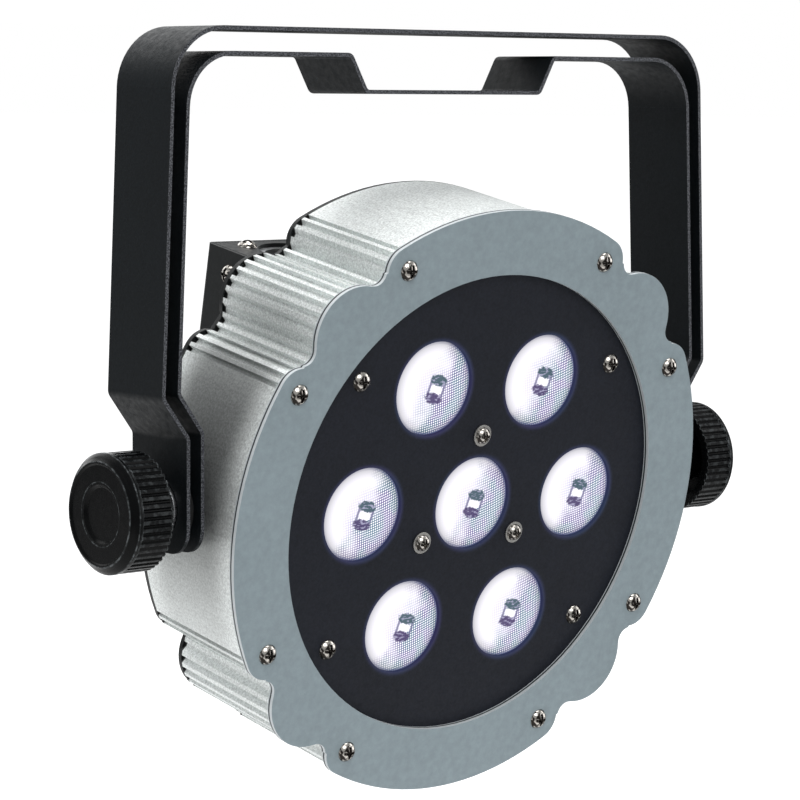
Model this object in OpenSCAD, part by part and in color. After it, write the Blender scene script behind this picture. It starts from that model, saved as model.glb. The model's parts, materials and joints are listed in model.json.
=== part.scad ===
// Flat LED par can: a fluted aluminium housing with seven lenses, hung between two
// strap brackets that share one pivot line and are clamped by two side knobs.
// The origin is the clamp hole in the top of the outer bracket, +Z up, light towards -Y.

/* [Brackets] */
// Height of the outer bracket's top face above the pivot line
outer_height = 135; // [132:1:150]
// Height of the inner bracket's top face above the pivot line
inner_height = 128; // [126:0.5:128.5]
// Width of the flat strap that both brackets are bent from
strap_width = 26; // [22:1:30]
// Thickness of the strap
strap_thickness = 1.2; // [1:0.1:2]
// Angle by which each arm leans out on its way down
arm_splay = 2.24; // [0:0.1:3]
// Depth of the dip in the middle of the inner bracket
dip_depth = 10.5; // [6:0.5:12]
// Radius of the clamp holes, for an M10 bolt
clamp_hole_r = 5.5; // [5.2:0.1:6]

/* [Head] */
// Angle by which the head looks down from level
head_tilt = 10.7; // [0:0.1:20]
// Distance from the pivot line forwards to the face of the front ring
pivot_to_face = 24.5; // [22:0.5:27]
// Radius of the front ring
ring_r = 89.2; // [88:0.1:90]
// Radius of the opening in the front ring
opening_r = 70; // [68:0.5:72]
// Thickness of the front ring
ring_thickness = 2; // [1.5:0.1:2.5]
// Radius of the housing's smooth sides
housing_r = 87.9; // [87:0.1:88.2]
// Length of the extruded housing
housing_length = 44.7; // [42:0.1:48]
// Height of the flutes that run along the housing's corners
flute_height = 1.7; // [0.8:0.1:2]

/* [Lenses] */
// Radius of the circle that the six outer lenses lie on
lens_circle_r = 42; // [40:0.5:44]
// Radius of one lens
lens_r = 14; // [12:0.5:14.5]

/* [Rear box] */
// Width of the rear box
box_width = 90; // [86:1:100]
// Height of the rear box's top above the head's axis
box_top_z = 61.2; // [58:0.2:62]
// Depth of the rear box's bottom below the head's axis
box_bottom_z = 46; // [44:1:50]
// Depth of the rear box from front to back
box_depth = 37.7; // [37:0.1:42]

/* [Knobs] */
// Outer radius of a clamp knob
knob_r = 17; // [15:0.5:18]
// Number of ridges round a clamp knob
knob_ridges = 48; // [36:2:60]

/* [Hidden] */
$fn = 64;
eps = 0.01;
far = 400;

// Bracket sizes
outer_bend_r = 18;
inner_bend_r = 16;
outer_bend_x = 85.1;
inner_bend_x = 82;
outer_foot_x = 98;
inner_foot_x = 93.1;
outer_joggle = [32, 20.6];
inner_joggle = [33, 21.9];
foot_drop = 12.2;
foot_corner_r = 7.5;
dip_top_x = 39.6;
dip_floor_x = 33.8;
dip_corner_r = 1.9;
joggle_corner_r = 2.6;
bend_steps = 4;
pivot_hole_r = 4.3;
arm_root = 0.6;
arm_hair = 0.02;

// Pivot hardware, as distances from the head's middle
stud_r = 4;
stud_inner_x = 74;
block_x = [75, 84.2];
block_half = 10;
spacer_x = [88.1, 91.8];
friction_x = [93.2, 96.7];
thrust_x = [98.1, 99.1];
knob_hub_x = 99.2;
knurl_x = [105.3, 116];
knob_face_x = 118.6;
knob_rim_r = 14.8;
knob_recess_r = 9;
knob_wall = 3;
knob_cup_depth = 8.5;
knob_collar_r = knob_r + 0.1;
knob_hub_r = 8;
knob_cap_h = 1.7;
knob_seat = 2.3;
stud_end_gap = 4.6;
friction_washer_r = 10;
spacer_r = 8;
thrust_washer_r = 8.5;

// Front of the head; front faces are negative along Y
ring_y = -pivot_to_face;
panel_y = ring_y + ring_thickness;
panel_thickness = 1.5;
housing_y = panel_y + panel_thickness;
tube_length = housing_length - panel_thickness;
rear_y = housing_y + tube_length;
rear_panel_thickness = 1.5;
box_y = rear_y + rear_panel_thickness;
box_back_y = box_y + box_depth;

// Scalloped corners: one lobe at each 45 degree corner between two notches
ring_lobe_c = 76.1;
ring_lobe_r = 14.9;
ring_floor_r = 84.2;
body_lobe_c = 76.3;
body_lobe_r = 13.5;
body_floor_r = 83;
end_r = 7.5;
end_angle = 17;
notch_angle = 10.2;
notch_cut_r = 3.9;
notch_cut_c = 88.1;
notch_fill_r = 85.5;
corner_half = 18.5;
flute_pitch = 2.1;
flute_count = 8;
// One flute's corners: degrees from its middle, and 1 for the root or 0 for the tip
flute_profile = [[-0.62, 1], [-0.38, 0], [0.38, 0], [0.62, 1]];

// Housing walls and screw positions
cavity_r = 85;
pad_r = 78.5;
panel_r = 79.9;
panel_recess_r = 80;
pad_half = 20;
ring_screw_r = 82;
ring_screw_angle = 17.2;
outer_screw_at = [48.9, 40.2];
inner_screw_r = 21;
screw_shaft_r = 1.45;
screw_hole_r = 1.55;
screw_head_r = 3.1;
screw_head_h = 1.9;
panel_washer_r = 3.3;
inner_head_r = 2.6;

// Optics stack
lens_front_y = ring_y + 1.2;
lens_crown_r = 60;
lens_flange_r = lens_r + 0.6;
lens_foot_r = 5.2;
lens_pocket_r = 3.4;
emitter_room = 2.6;
emitter_size = [5.6, 5.6, 0.9];
emitter_dome_r = 1.9;
board_y = housing_y + 12.9;
board_thickness = 1.6;
board_r = 72;
plate_y = board_y + board_thickness;
plate_thickness = 3;
plate_r = 78.3;
fin_height = 9;
fin_thickness = 1.6;
fin_pitch = 9;
fin_side_count = 6;
fin_circle_r = 60;
block_notch = [12, 23];

// Rear box sheet
sheet = 1.2;
seam = 0.3;
box_height = box_top_z + box_bottom_z;
box_corner_r = 2.2;
cover_lip = 17;
cable_pass = [56, 40];
side_screw_z = [54, -38];
side_screw_y = 49;

// Signal sockets, let into the box's top
socket_top = box_top_z - sheet;
socket_depth = 20;
socket_floor = socket_top - socket_depth + 3;
mouth_depth = 6.5;
flange_thickness = 2;
flange_size = [31, 26];
socket_x = 22.7;
socket_y = 45;
socket_hole_r = 12;
socket_bore_r = 9.8;
flange_screw = [12, 9.5];
contact_r = 1.2;
contact_circle_r = 4.6;
contact_angles = [90, 210, 330];
core_r = 7.8;
core_height = 10;

// Power inlet and fuse, let into the box's bottom
inlet_x = -16;
inlet_y = box_y + 19;
inlet_z = -box_bottom_z;
blade_size = [2, 4];
blade_places = [[-7, -1.5], [0, 2], [7, -1.5]];
fuse_x = 24;
fuse_r = 2.6;

// Menu on the back
window_z = 30;
window_size = [36, 14];
button_z = 10;
button_pitch = 13;
button_r = 3.4;
slot_size = [46, 2];
slot_pitch = 4.5;
slot_top_z = -12;
slot_count = 7;

lens_angles = [0, 60, 120, 180, 240, 300];

// ---------------------------------------------------------------- helpers

// Places children given about the pivot, brackets upright
module at_pivot() {
    translate([0, 0, -outer_height]) children();
}

// Places children given in the head's own frame
module in_head() {
    at_pivot() rotate([head_tilt, 0, 0]) children();
}

// Plate drawn as seen from the front, from y = front to y = front + thick
module plate(front, thick) {
    translate([0, front + thick, 0]) rotate([90, 0, 0]) linear_extrude(thick) children();
}

// Rod along Y, from y = front to y = front + length
module rod_y(front, length, r, at = [0, 0]) {
    translate([at[0], front + length, at[1]]) rotate([90, 0, 0]) cylinder(r = r, h = length);
}

// Rod along X, from x = from to x = to, at the pivot line
module rod_x(from, to, r) {
    translate([from, 0, 0]) rotate([0, 90, 0]) cylinder(r = r, h = to - from);
}

// Round washer along X
module washer_x(span, r, hole_r) {
    difference() {
        rod_x(span[0], span[1], r);
        rod_x(span[0] - 1, span[1] + 1, hole_r);
    }
}

// Right-hand part as given, or its mirror image on the left
module on_side(side) {
    mirror([side < 0 ? 1 : 0, 0, 0]) children();
}

// Flat pie slice from angle a0 to a1
module wedge(a0, a1, r) {
    mid = (a0 + a1) / 2;
    peak = r / cos((a1 - a0) / 2);
    polygon([[0, 0], r * [cos(a0), sin(a0)], peak * [cos(mid), sin(mid)], r * [cos(a1), sin(a1)]]);
}

// Rectangle with round corners, centred
module rounded(size, r) {
    square([size[0] - 2 * r, size[1]], center = true);
    square([size[0], size[1] - 2 * r], center = true);
    for (x = [-1, 1], y = [-1, 1]) {
        translate([x * (size[0] / 2 - r), y * (size[1] / 2 - r)]) circle(r = r);
    }
}

// Cross-head pan screw: head rises along +Z from z = 0, shaft goes down
module pan_screw(shaft = 8, r = screw_head_r, h = screw_head_h, shaft_r = screw_shaft_r) {
    crown_r = (r * r + h * h) / (2 * h);
    difference() {
        union() {
            rotate_extrude() intersection() {
                translate([0, h - crown_r]) circle(r = crown_r);
                square([r, h]);
            }
            translate([0, 0, -shaft]) cylinder(r = shaft_r, h = shaft + eps);
        }
        for (a = [0, 90]) {
            rotate(a) translate([-0.62 * r, -0.13 * r, 0.45 * h]) cube([1.24 * r, 0.26 * r, h]);
        }
    }
}

// Screw whose head stands on the plane y = face and points to -Y
module screw_front(at, face, shaft, r = screw_head_r) {
    translate([at[0], face, at[1]]) rotate([90, 0, 0]) pan_screw(shaft, r);
}

// Screw whose head stands on the plane y = face and points to +Y
module screw_back(at, face, shaft) {
    translate([at[0], face, at[1]]) rotate([-90, 0, 0]) pan_screw(shaft);
}

// Positions shared by plates, bosses and screws, as [x, z]
ring_screw_places = [
    for (q = [0:3], s = [-1, 1])
        ring_screw_r * [cos(90 * q + 45 + s * ring_screw_angle), sin(90 * q + 45 + s * ring_screw_angle)]
];
outer_panel_places = [for (x = [-1, 1], z = [-1, 1]) [x * outer_screw_at[0], z * outer_screw_at[1]]];
inner_panel_places = [for (a = [90, 210, 330]) inner_screw_r * [cos(a), sin(a)]];
panel_screw_places = concat(outer_panel_places, inner_panel_places);
contact_places = [for (a = contact_angles) contact_circle_r * [cos(a), sin(a)]];
lens_places = concat([[0, 0]], [for (a = lens_angles) lens_circle_r * [cos(a), sin(a)]]);

// ---------------------------------------------------------------- brackets

// Bend at the top of an arm, in X and Z
module bend_outline(height, bend_r, bend_x) {
    translate([bend_x, height - bend_r]) intersection() {
        difference() {
            circle(r = bend_r, $fn = 96);
            circle(r = bend_r - strap_thickness, $fn = 96);
        }
        wedge(arm_splay, 90, 2 * bend_r);
    }
}

function unit(v) = v / norm(v);
function turned(v, a) = [v[0] * cos(a) - v[1] * sin(a), v[0] * sin(a) + v[1] * cos(a)];

// One side of a bent strip, at distance off to the left of its middle line; corners are rounded with radius r
function strip_side(path, r, off) = [
    for (i = [0:len(path) - 1])
        let (
            last = len(path) - 1,
            u = unit(i > 0 ? path[i] - path[i - 1] : path[1] - path[0]),
            v = unit(i < last ? path[i + 1] - path[i] : path[last] - path[last - 1]),
            turn = i == 0 || i == last ? 0 : atan2(cross(u, v), u * v),
            left = [-u[1], u[0]],
            way = sign(turn),
            centre = path[i] - r * tan(abs(turn) / 2) * u + way * r * left
        )
        for (k = [0:way == 0 ? 0 : bend_steps])
            way == 0 ? path[i] + off * left : centre + (off - way * r) * turned(left, turn * k / bend_steps)
];

function backwards(list) = [for (i = [len(list) - 1:-1:0]) list[i]];

// Strip of sheet bent along a path, in X and Z
module strip(path, r, thick) {
    polygon(concat(strip_side(path, r, thick / 2), backwards(strip_side(path, r, -thick / 2))));
}

// Leaning arm, joggle and foot, in X and Z
module arm_outline(height, bend_r, bend_x, foot_x, joggle) {
    half = strap_thickness / 2;
    across = [cos(arm_splay), sin(arm_splay)];
    along = [-sin(arm_splay), cos(arm_splay)];
    // The arm's root lies inside the bend, and the arm is a hair thinner, so that the two join cleanly
    root = [bend_x, height - bend_r] + arm_root * along + (bend_r - half) * across;
    knee_z = joggle[0] + 0.4 * half;
    knee_x = root[0] + tan(arm_splay) * (root[1] - knee_z);
    foot_middle = foot_x - half;
    strip([
        root,
        [knee_x, knee_z],
        [foot_middle, joggle[1] + 0.4 * half],
        [foot_middle, -foot_drop - 1]
    ], joggle_corner_r, strap_thickness - 2 * arm_hair);
}

// Side view of a bracket: straight edges and rounded feet
module strap_side(height) {
    w = strap_width;
    r = foot_corner_r;
    translate([-w / 2, r - foot_drop]) square([w, height + foot_drop]);
    translate([r - w / 2, -foot_drop]) square([w - 2 * r, r + 1]);
    for (y = [-1, 1]) translate([y * (w / 2 - r), r - foot_drop]) circle(r = r);
}

// Makes each outline given as a child into a length of strap, rounds the feet and drills the pivot holes
module strap(height) {
    difference() {
        intersection() {
            translate([0, strap_width / 2, 0]) rotate([90, 0, 0]) union() {
                for (i = [0:$children - 1]) linear_extrude(strap_width) children(i);
            }
            translate([-far / 2, 0, 0]) rotate([90, 0, 90]) linear_extrude(far) strap_side(height);
        }
        rod_x(-far / 2, far / 2, pivot_hole_r);
    }
}

module outer_bracket() {
    t = strap_thickness;
    h = outer_height;
    r = outer_bend_r;
    x = outer_bend_x;
    color([0.12, 0.13, 0.14]) at_pivot() difference() {
        strap(h) {
            translate([-x, h - t]) square([2 * x, t]);
            bend_outline(h, r, x);
            mirror([1, 0]) bend_outline(h, r, x);
            arm_outline(h, r, x, outer_foot_x, outer_joggle);
            mirror([1, 0]) arm_outline(h, r, x, outer_foot_x, outer_joggle);
        }
        translate([0, 0, h - t - 1]) cylinder(r = clamp_hole_r, h = t + 2);
    }
}

module inner_bracket() {
    t = strap_thickness;
    h = inner_height;
    r = inner_bend_r;
    x = inner_bend_x;
    floor_z = h - dip_depth;
    high = h - t / 2;
    low = floor_z - t / 2;
    color([0.12, 0.13, 0.14]) at_pivot() difference() {
        strap(h) {
            strip([
                [-x, high], [-dip_top_x, high], [-dip_floor_x, low],
                [dip_floor_x, low], [dip_top_x, high], [x, high]
            ], dip_corner_r, t);
            bend_outline(h, r, x);
            mirror([1, 0]) bend_outline(h, r, x);
            arm_outline(h, r, x, inner_foot_x, inner_joggle);
            mirror([1, 0]) arm_outline(h, r, x, inner_foot_x, inner_joggle);
        }
        translate([0, 0, floor_z - t - 1]) cylinder(r = clamp_hole_r, h = t + 2);
    }
}

// ---------------------------------------------------------------- pivot hardware

module friction_washer(side) {
    color([0.08, 0.08, 0.08]) at_pivot() on_side(side) washer_x(friction_x, friction_washer_r, pivot_hole_r);
}

module pivot_spacer(side) {
    color([0.1, 0.1, 0.1]) in_head() on_side(side) washer_x(spacer_x, spacer_r, pivot_hole_r);
}

module pivot_block(side) {
    color([0.7, 0.7, 0.72]) in_head() on_side(side) difference() {
        translate([block_x[0], -block_half, -block_half]) {
            cube([block_x[1] - block_x[0], 2 * block_half, 2 * block_half]);
        }
        rod_x(block_x[0] - 1, block_x[1] + 1, stud_r + 0.05);
    }
}

module thrust_washer(side) {
    color([0.72, 0.72, 0.74]) in_head() on_side(side) washer_x(thrust_x, thrust_washer_r, pivot_hole_r);
}

// Ridged ring of a clamp knob
module knurl_outline() {
    step = 360 / knob_ridges;
    root_r = knob_r - 0.55;
    polygon([
        for (i = [0:knob_ridges - 1], p = [[-0.42, root_r], [-0.2, knob_r], [0.2, knob_r], [0.42, root_r]])
            p[1] * [cos((i + p[0]) * step), sin((i + p[0]) * step)]
    ]);
}

// Clamp knob: a ridged cup with a hub inside it and a dished face
module knob(side) {
    depth = knob_face_x - knurl_x[0];
    knurl = knurl_x[1] - knurl_x[0];
    hub = knob_hub_x - knurl_x[0];
    bore_r = stud_r + 0.02;
    color([0.08, 0.08, 0.085]) in_head() on_side(side) translate([knurl_x[0], 0, 0]) rotate([0, 90, 0]) {
        difference() {
            union() {
                linear_extrude(knurl) knurl_outline();
                rotate_extrude() polygon([
                    [0, 2], [knob_r - 0.9, 2],
                    [knob_r - 0.9, knurl - 0.6],
                    [knob_collar_r, knurl - 0.6],
                    [knob_collar_r, knurl + 0.5],
                    [knob_r - 0.6, knurl + 1.3],
                    [knob_rim_r + 0.5, depth - 0.5],
                    [knob_rim_r, depth],
                    [knob_rim_r - 0.6, depth],
                    [knob_rim_r - 1, depth - 0.5],
                    [knob_recess_r + 0.7, depth - 0.5],
                    [0, depth - 0.5]
                ]);
            }
            // hollow inside of the cup
            translate([0, 0, -1]) cylinder(r = knob_r - knob_wall, h = knob_cup_depth);
            // seat of the face cap
            translate([0, 0, depth - knob_seat]) cylinder(r = knob_recess_r, h = 3);
            // seat of the stud
            translate([0, 0, -1]) cylinder(r = bore_r, h = depth - 3.5);
        }
        translate([0, 0, hub]) difference() {
            cylinder(r = knob_hub_r, h = knob_cup_depth - hub);
            translate([0, 0, -1]) cylinder(r = bore_r, h = 20);
        }
    }
}

// Dished disc pressed into the knob's face
module knob_cap(side) {
    base = knob_face_x - knob_seat;
    r = knob_recess_r - 0.05;
    color([0.07, 0.07, 0.075]) in_head() on_side(side) translate([base, 0, 0]) rotate([0, 90, 0]) {
        rotate_extrude() polygon([
            [0, 0], [r, 0], [r, knob_cap_h],
            [r - 0.65, knob_cap_h], [r - 1.45, knob_cap_h - 0.8], [0, knob_cap_h - 0.8]
        ]);
    }
}

module knob_stud(side) {
    color([0.72, 0.72, 0.74]) in_head() on_side(side) rod_x(stud_inner_x, knob_face_x - stud_end_gap, stud_r);
}

// ---------------------------------------------------------------- front of the head

// Round outline with a lobe between two notches at each corner, all in true arcs
module scalloped(main_r, floor_r, lobe_c, lobe_r) {
    circle(r = floor_r, $fn = 180);
    for (q = [0:3]) rotate(90 * q) intersection() {
        circle(r = main_r, $fn = 180);
        wedge(45 + end_angle, 135 - end_angle, 2 * main_r);
    }
    for (q = [0:3]) rotate(90 * q + 45) {
        translate([lobe_c, 0]) circle(r = lobe_r);
        for (s = [-1, 1]) rotate(end_angle * s) translate([main_r - end_r, 0]) circle(r = end_r);
    }
}

module ring_outline() {
    scalloped(ring_r, ring_floor_r, ring_lobe_c, ring_lobe_r);
    for (q = [0:3], m = [0, 1]) rotate(90 * q + 45) mirror([0, m]) difference() {
        intersection() {
            circle(r = notch_fill_r, $fn = 180);
            wedge(8.2, 12.9, 2 * ring_r);
        }
        rotate(notch_angle) translate([notch_cut_c, 0]) circle(r = notch_cut_r);
    }
}

module front_ring() {
    color([0.55, 0.61, 0.64]) in_head() plate(ring_y, ring_thickness) difference() {
        ring_outline();
        circle(r = opening_r, $fn = 180);
        for (p = ring_screw_places) translate(p) circle(r = screw_hole_r);
    }
}

module ring_screws() {
    color([0.75, 0.75, 0.74]) in_head() for (p = ring_screw_places) screw_front(p, ring_y, 12);
}

module front_panel() {
    color([0.12, 0.12, 0.15]) in_head() plate(panel_y, panel_thickness) difference() {
        circle(r = panel_r, $fn = 180);
        for (p = lens_places) translate(p) circle(r = lens_r + 0.15);
        for (p = panel_screw_places) translate(p) circle(r = screw_hole_r);
    }
}

module panel_screws() {
    color([0.6, 0.6, 0.58]) in_head() {
        for (p = outer_panel_places) screw_front(p, panel_y, 9);
        for (p = inner_panel_places) screw_front(p, panel_y - 0.5, 9, inner_head_r);
    }
}

module panel_washers() {
    color([0.5, 0.5, 0.5]) in_head() for (p = inner_panel_places) {
        plate(panel_y - 0.5, 0.5) translate(p) difference() {
            circle(r = panel_washer_r);
            circle(r = screw_hole_r);
        }
    }
}

// Collimator lens: shallow crown, flange under the panel and a cone towards the emitter
module lens(i) {
    flange_y = housing_y + 0.05;
    front = flange_y - lens_front_y;
    back = board_y - emitter_room - flange_y;
    place = lens_places[i];
    color([0.95, 0.95, 1]) in_head() translate([place[0], flange_y, place[1]]) rotate([90, 0, 0]) {
        rotate_extrude() intersection() {
            translate([0, front - lens_crown_r]) circle(r = lens_crown_r, $fn = 360);
            translate([0, -0.5]) square([lens_r, front + 0.5]);
        }
        translate([0, 0, -1]) cylinder(r = lens_flange_r, h = 1);
        difference() {
            translate([0, 0, -back]) cylinder(r1 = lens_foot_r, r2 = lens_r - 0.6, h = back);
            translate([0, 0, -back - 1]) cylinder(r = lens_pocket_r, h = 3.5);
        }
    }
}

// Black cups that carry the lenses above the board
module lens_holders() {
    color([0.1, 0.1, 0.1]) in_head() for (p = lens_places) {
        plate(housing_y + 1.1, board_y - housing_y - 1.1) translate(p) difference() {
            circle(r = lens_flange_r + 1);
            circle(r = lens_flange_r + 0.1);
        }
    }
}

// Emitter packages with a small dome each
module led_emitters() {
    size = emitter_size;
    color([0.85, 0.85, 0.7]) in_head() for (p = lens_places) {
        translate([p[0], board_y, p[1]]) rotate([90, 0, 0]) {
            translate([-size[0] / 2, -size[1] / 2, 0]) cube(size);
            translate([0, 0, size[2] - eps]) rotate_extrude() intersection() {
                circle(r = emitter_dome_r);
                square(emitter_dome_r);
            }
        }
    }
}

module led_board() {
    color([0.9, 0.9, 0.9]) in_head() plate(board_y, board_thickness) difference() {
        circle(r = board_r, $fn = 120);
        for (p = panel_screw_places) translate(p) circle(r = screw_hole_r);
    }
}

module standoffs() {
    color([0.75, 0.75, 0.75]) in_head() for (p = panel_screw_places) {
        plate(housing_y, board_y - housing_y) translate(p) difference() {
            circle(r = 3);
            circle(r = screw_hole_r);
        }
    }
}

// Aluminium plate behind the board, with straight fins on its back
module heat_plate() {
    color([0.75, 0.76, 0.78]) in_head() {
        plate(plate_y, plate_thickness) difference() {
            circle(r = plate_r, $fn = 120);
            // room for the pivot blocks
            for (x = [-1, 1]) translate([x * plate_r, 0]) square(block_notch, center = true);
        }
        for (i = [-fin_side_count:fin_side_count]) {
            half = sqrt(pow(fin_circle_r, 2) - pow(i * fin_pitch, 2));
            translate([i * fin_pitch - fin_thickness / 2, plate_y + plate_thickness - eps, -half]) {
                cube([fin_thickness, fin_height, 2 * half]);
            }
        }
    }
}

// ---------------------------------------------------------------- housing

// Radius of a circle of radius r centred at distance c, seen from the origin at angle a from it
function arc_reach(c, r, a) = c * abs(sin(a)) < r ? c * cos(a) + sqrt(r * r - pow(c * sin(a), 2)) : 0;

// Radius of the housing's flute tips at angle a from the corner
function tip_radius(a) = abs(a) >= end_angle
    ? housing_r
    : max(
        body_floor_r,
        arc_reach(body_lobe_c, body_lobe_r, a),
        arc_reach(housing_r - end_r, end_r, abs(a) - end_angle)
    );

// One fluted corner, centred on the +X direction
module fluted_corner() {
    polygon(concat(
        [[0, 0], (housing_r - flute_height) * [cos(corner_half), -sin(corner_half)]],
        [
            for (k = [-flute_count:flute_count], p = flute_profile)
                let (a = k * flute_pitch, r = tip_radius(a + p[0]) - p[1] * flute_height)
                    r * [cos(a + p[0]), sin(a + p[0])]
        ],
        [(housing_r - flute_height) * [cos(corner_half), sin(corner_half)]]
    ));
}

module housing_outline() {
    for (q = [0:3]) rotate(90 * q) {
        intersection() {
            circle(r = housing_r, $fn = 180);
            wedge(45 + corner_half - 0.3, 135 - corner_half + 0.3, 2 * housing_r);
        }
        rotate(45) fluted_corner();
    }
}

// Inside of the extrusion: round, with a solid pad behind each fluted corner
module cavity_outline() {
    difference() {
        circle(r = cavity_r, $fn = 180);
        for (q = [0:3]) rotate(90 * q + 45) difference() {
            wedge(-pad_half, pad_half, 2 * cavity_r);
            circle(r = pad_r, $fn = 180);
        }
    }
}

module housing() {
    color([0.78, 0.8, 0.8]) in_head() difference() {
        plate(panel_y, housing_length) difference() {
            housing_outline();
            cavity_outline();
            for (p = ring_screw_places) translate(p) circle(r = screw_hole_r);
        }
        // recess that the front panel drops into
        rod_y(panel_y - 1, 1 + panel_thickness, panel_recess_r);
        rod_x(-far / 2, far / 2, pivot_hole_r);
    }
}

module rear_panel() {
    color([0.11, 0.12, 0.12]) in_head() plate(rear_y, rear_panel_thickness) difference() {
        scalloped(housing_r - 0.4, body_floor_r - 0.6, body_lobe_c, body_lobe_r - 0.4);
        rounded(cable_pass, 4);
        for (p = ring_screw_places) translate(p) circle(r = screw_hole_r);
    }
}

module rear_screws() {
    color([0.75, 0.75, 0.74]) in_head() {
        for (p = ring_screw_places) screw_back(p, rear_y + rear_panel_thickness, 12);
    }
}

// ---------------------------------------------------------------- rear box

// Wrap of sheet: left side, back and right side, seen from above
module wrap_outline() {
    r = box_corner_r;
    w = box_width;
    difference() {
        union() {
            translate([-w / 2, box_y]) square([w, box_depth - r]);
            translate([r - w / 2, box_y]) square([w - 2 * r, box_depth]);
            for (x = [-1, 1]) translate([x * (w / 2 - r), box_back_y - r]) circle(r = r);
        }
        translate([sheet - w / 2, box_y - 1]) square([w - 2 * sheet, box_depth + 1 - sheet]);
    }
}

module vent_slots() {
    for (i = [0:slot_count - 1]) {
        plate(box_back_y - 4, 6) translate([0, slot_top_z - i * slot_pitch]) rounded(slot_size, 0.95);
    }
}

module box_shell() {
    color([0.12, 0.13, 0.14]) in_head() difference() {
        translate([0, 0, -box_bottom_z]) linear_extrude(box_height) wrap_outline();
        // display window and buttons
        plate(box_back_y - 3, 4) translate([0, window_z]) rounded(window_size, 1);
        for (i = [0:3]) {
            rod_y(box_back_y - 3, 5, button_r + 0.3, [button_pitch * (i - 1.5), button_z]);
        }
        vent_slots();
        // screws that hold the top and bottom covers
        for (z = side_screw_z) cover_screw_holes(z);
    }
}

// Cover sheet that closes the wrap, from z = low; its two lips turn along the sides
module cover(low, lip_low, lip_height) {
    gap = sheet + seam;
    w = box_width - 2 * gap;
    d = box_depth - gap;
    translate([-w / 2, box_y, low]) cube([w, d, sheet]);
    for (x = [-1, 1]) {
        translate([x * (w / 2 - sheet / 2) - sheet / 2, box_y, lip_low]) cube([sheet, d, lip_height]);
    }
}

module cover_screw_holes(z) {
    translate([0, side_screw_y, z]) rotate([0, 90, 0]) cylinder(r = screw_hole_r, h = far, center = true);
}

module box_top() {
    top = box_top_z - sheet;
    color([0.12, 0.13, 0.14]) in_head() difference() {
        cover(top, top - cover_lip, cover_lip);
        cover_screw_holes(side_screw_z[0]);
        for (x = [-1, 1]) translate([x * socket_x, socket_y, top - 1]) {
            cylinder(r = socket_hole_r, h = sheet + 2);
            for (s = [-1, 1]) translate([s * flange_screw[0], s * x * flange_screw[1], 0]) {
                cylinder(r = screw_hole_r, h = sheet + 2);
            }
        }
    }
}

module box_bottom() {
    color([0.12, 0.13, 0.14]) in_head() difference() {
        cover(inlet_z, inlet_z, cover_lip);
        cover_screw_holes(side_screw_z[1]);
        translate([inlet_x, inlet_y, inlet_z - 1]) linear_extrude(sheet + 2) rounded([27.6, 20.2], 1.5);
        translate([fuse_x, inlet_y, inlet_z - 1]) cylinder(r = 6.3, h = sheet + 2);
    }
}

module box_screws() {
    color([0.75, 0.75, 0.74]) in_head() for (x = [-1, 1], z = side_screw_z) {
        translate([x * box_width / 2, side_screw_y, z]) rotate([0, x * 90, 0]) pan_screw(5);
    }
}

// ---------------------------------------------------------------- sockets on top

// Flange under the cover and a round shell below it, open at the top
module socket_shell(side) {
    translate([side * socket_x, socket_y, 0]) difference() {
        union() {
            translate([0, 0, socket_top - flange_thickness]) linear_extrude(flange_thickness) {
                rounded(flange_size, 3);
            }
            translate([0, 0, socket_top - socket_depth]) {
                cylinder(r = socket_bore_r + 1.6, h = socket_depth - 1);
            }
        }
        translate([0, 0, socket_floor]) cylinder(r = socket_bore_r - 0.15, h = far);
        translate([0, 0, socket_top - mouth_depth]) cylinder(r = socket_bore_r, h = far);
        for (s = [-1, 1]) translate([s * flange_screw[0], s * side * flange_screw[1], socket_top - 5]) {
            cylinder(r = screw_hole_r, h = 10);
        }
    }
}

module dmx_in_socket() {
    color([0.55, 0.56, 0.57]) in_head() difference() {
        socket_shell(-1);
        for (p = contact_places) translate([p[0] - socket_x, p[1] + socket_y, 0]) {
            cylinder(r = contact_r + 0.02, h = socket_top);
        }
    }
}

module dmx_in_pins() {
    color([0.8, 0.75, 0.5]) in_head() for (p = contact_places) {
        translate([p[0] - socket_x, p[1] + socket_y, socket_floor - 6]) cylinder(r = contact_r, h = 16);
    }
}

module dmx_out_socket() {
    color([0.55, 0.56, 0.57]) in_head() difference() {
        socket_shell(1);
        translate([socket_x - 2.6, socket_y + socket_bore_r - 0.6, socket_top - 9]) cube([5.2, 3, 20]);
    }
}

// Insulating core with three contact holes
module dmx_out_core() {
    color([0.1, 0.1, 0.1]) in_head() translate([socket_x, socket_y, socket_floor]) difference() {
        cylinder(r = core_r, h = core_height);
        for (p = contact_places) translate([p[0], p[1], 3]) cylinder(r = 1.3, h = 20);
    }
}

// Release tab of the output socket, pressed down to let a plug go
module dmx_latch() {
    color([0.6, 0.6, 0.6]) in_head() translate([socket_x, socket_y + socket_bore_r, socket_top - 6]) {
        translate([-2.3, 0.15, 0]) cube([4.6, 1.9, 5.2]);
        translate([-2.3, 0.15, 5.1]) cube([4.6, 1.4, 2.3]);
    }
}

module socket_screws() {
    color([0.75, 0.75, 0.74]) in_head() for (x = [-1, 1], s = [-1, 1]) {
        translate([x * socket_x + s * flange_screw[0], socket_y + s * x * flange_screw[1], box_top_z]) {
            pan_screw(5);
        }
    }
}

// ---------------------------------------------------------------- power inlet and fuse below

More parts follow.
